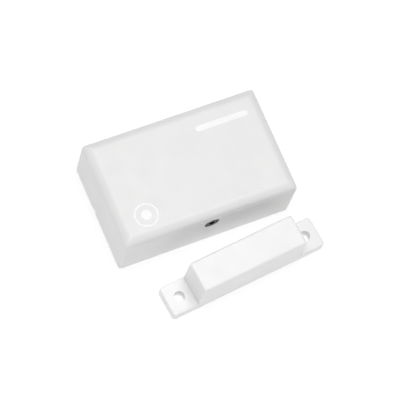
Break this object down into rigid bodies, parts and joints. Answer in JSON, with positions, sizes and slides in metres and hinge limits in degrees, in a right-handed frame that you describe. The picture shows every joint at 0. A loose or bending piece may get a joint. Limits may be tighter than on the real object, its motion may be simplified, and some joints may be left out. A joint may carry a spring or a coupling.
{
  "type": "door contact sensor",
  "caption": "Surface-mounted wireless door contact: a box with a lift-off rounded cover, side lock screw, board and cell, beside a flanged magnet unit for the door.",
  "frame": {"origin": "centre of the sensor box's back face, on the wall", "axes": "+Z away from the wall, +X along the box's long side, +Y away from the magnet unit"},
  "size_m": [0.0742, 0.0666, 0.0242],
  "materials": {
    "cover_white": "satin moulded, fine texture",
    "plate_white": "satin moulded",
    "magnet_white": "satin moulded, smooth",
    "retainer_white": "satin moulded",
    "board_green": "solder mask",
    "screw_steel": "zinc plated",
    "holder_black": "satin moulded",
    "cell": "shrink sleeve",
    "contact_nickel": "nickel plated",
    "spring_nickel": "nickel plated",
    "reed_glass": "clear, slightly green",
    "reed_metal": "nickel iron",
    "shield_tin": "tin plated",
    "antenna_copper": "enamelled copper",
    "chip_black": "moulded epoxy",
    "pin_tin": "tin plated",
    "crystal_can": "nickel plated",
    "capacitor_tan": "sintered",
    "resistor_black": "glazed",
    "led_clear": "clear lens on a white body",
    "switch_black": "satin moulded",
    "plunger_grey": "satin moulded",
    "button_red": "satin moulded",
    "insert_brass": "turned and knurled",
    "clip_steel": "phosphated spring steel",
    "lock_black": "black oxide",
    "magnet_core": "sintered ferrite"
  },
  "bodies": {
    "base": {"back_plate": "plate_white", "circuit_board": "board_green", "board_screws": "screw_steel", "battery_holder": "holder_black", "battery": "cell", "contact_positive": "contact_nickel", "contact_negative": "contact_nickel", "battery_spring": "spring_nickel", "reed_glass": "reed_glass", "reed_blades": "reed_metal", "radio_shield": "shield_tin", "antenna": "antenna_copper", "controller_chip": "chip_black", "chip_pins": "pin_tin", "crystal": "crystal_can", "capacitors": "capacitor_tan", "resistors": "resistor_black", "status_led": "led_clear", "tamper_switch": "switch_black", "learn_switch": "switch_black"},
    "cover": {"front_cover": "cover_white", "threaded_insert": "insert_brass"},
    "screw_clip": {"retaining_clip": "clip_steel"},
    "lock_screw": {"lock_screw": "lock_black"},
    "tamper_plunger": {"tamper_plunger": "plunger_grey"},
    "learn_button": {"learn_button": "button_red"},
    "magnet_unit": {"magnet_housing": "magnet_white", "bar_magnet": "magnet_core", "magnet_retainer": "retainer_white"}
  },
  "joints": [
    {"name": "cover_lift", "type": "slide", "parent": "base", "child": "cover", "axis": [0, 0, 1], "range_m": [0, 0.04]},
    {"name": "lock_screw_advance", "type": "slide", "parent": "cover", "child": "screw_clip", "axis": [0, 1, 0], "range_m": [0, 0.00151]},
    {"name": "lock_screw_turn", "type": "hinge", "parent": "screw_clip", "child": "lock_screw", "pos_m": [0.0005, -0.0209, 0.0164], "axis": [0, 1, 0], "range_deg": [0, 1080]},
    {"name": "tamper_press", "type": "slide", "parent": "base", "child": "tamper_plunger", "axis": [0, 0, -1], "range_m": [0, 0.0005], "stiffness_N_per_m": 300, "springref_m": -0.0005},
    {"name": "learn_press", "type": "slide", "parent": "base", "child": "learn_button", "axis": [0, 0, -1], "range_m": [0, 0.0003], "stiffness_N_per_m": 500, "springref_m": -0.0003},
    {"name": "door_opening", "type": "slide", "parent": "base", "child": "magnet_unit", "axis": [0, 0, 1], "range_m": [0, 0.06]}
  ],
  "couplings": [
    {"joint": "lock_screw_advance", "follows": "lock_screw_turn", "m_per_rad": 0.000079577}
  ]
}
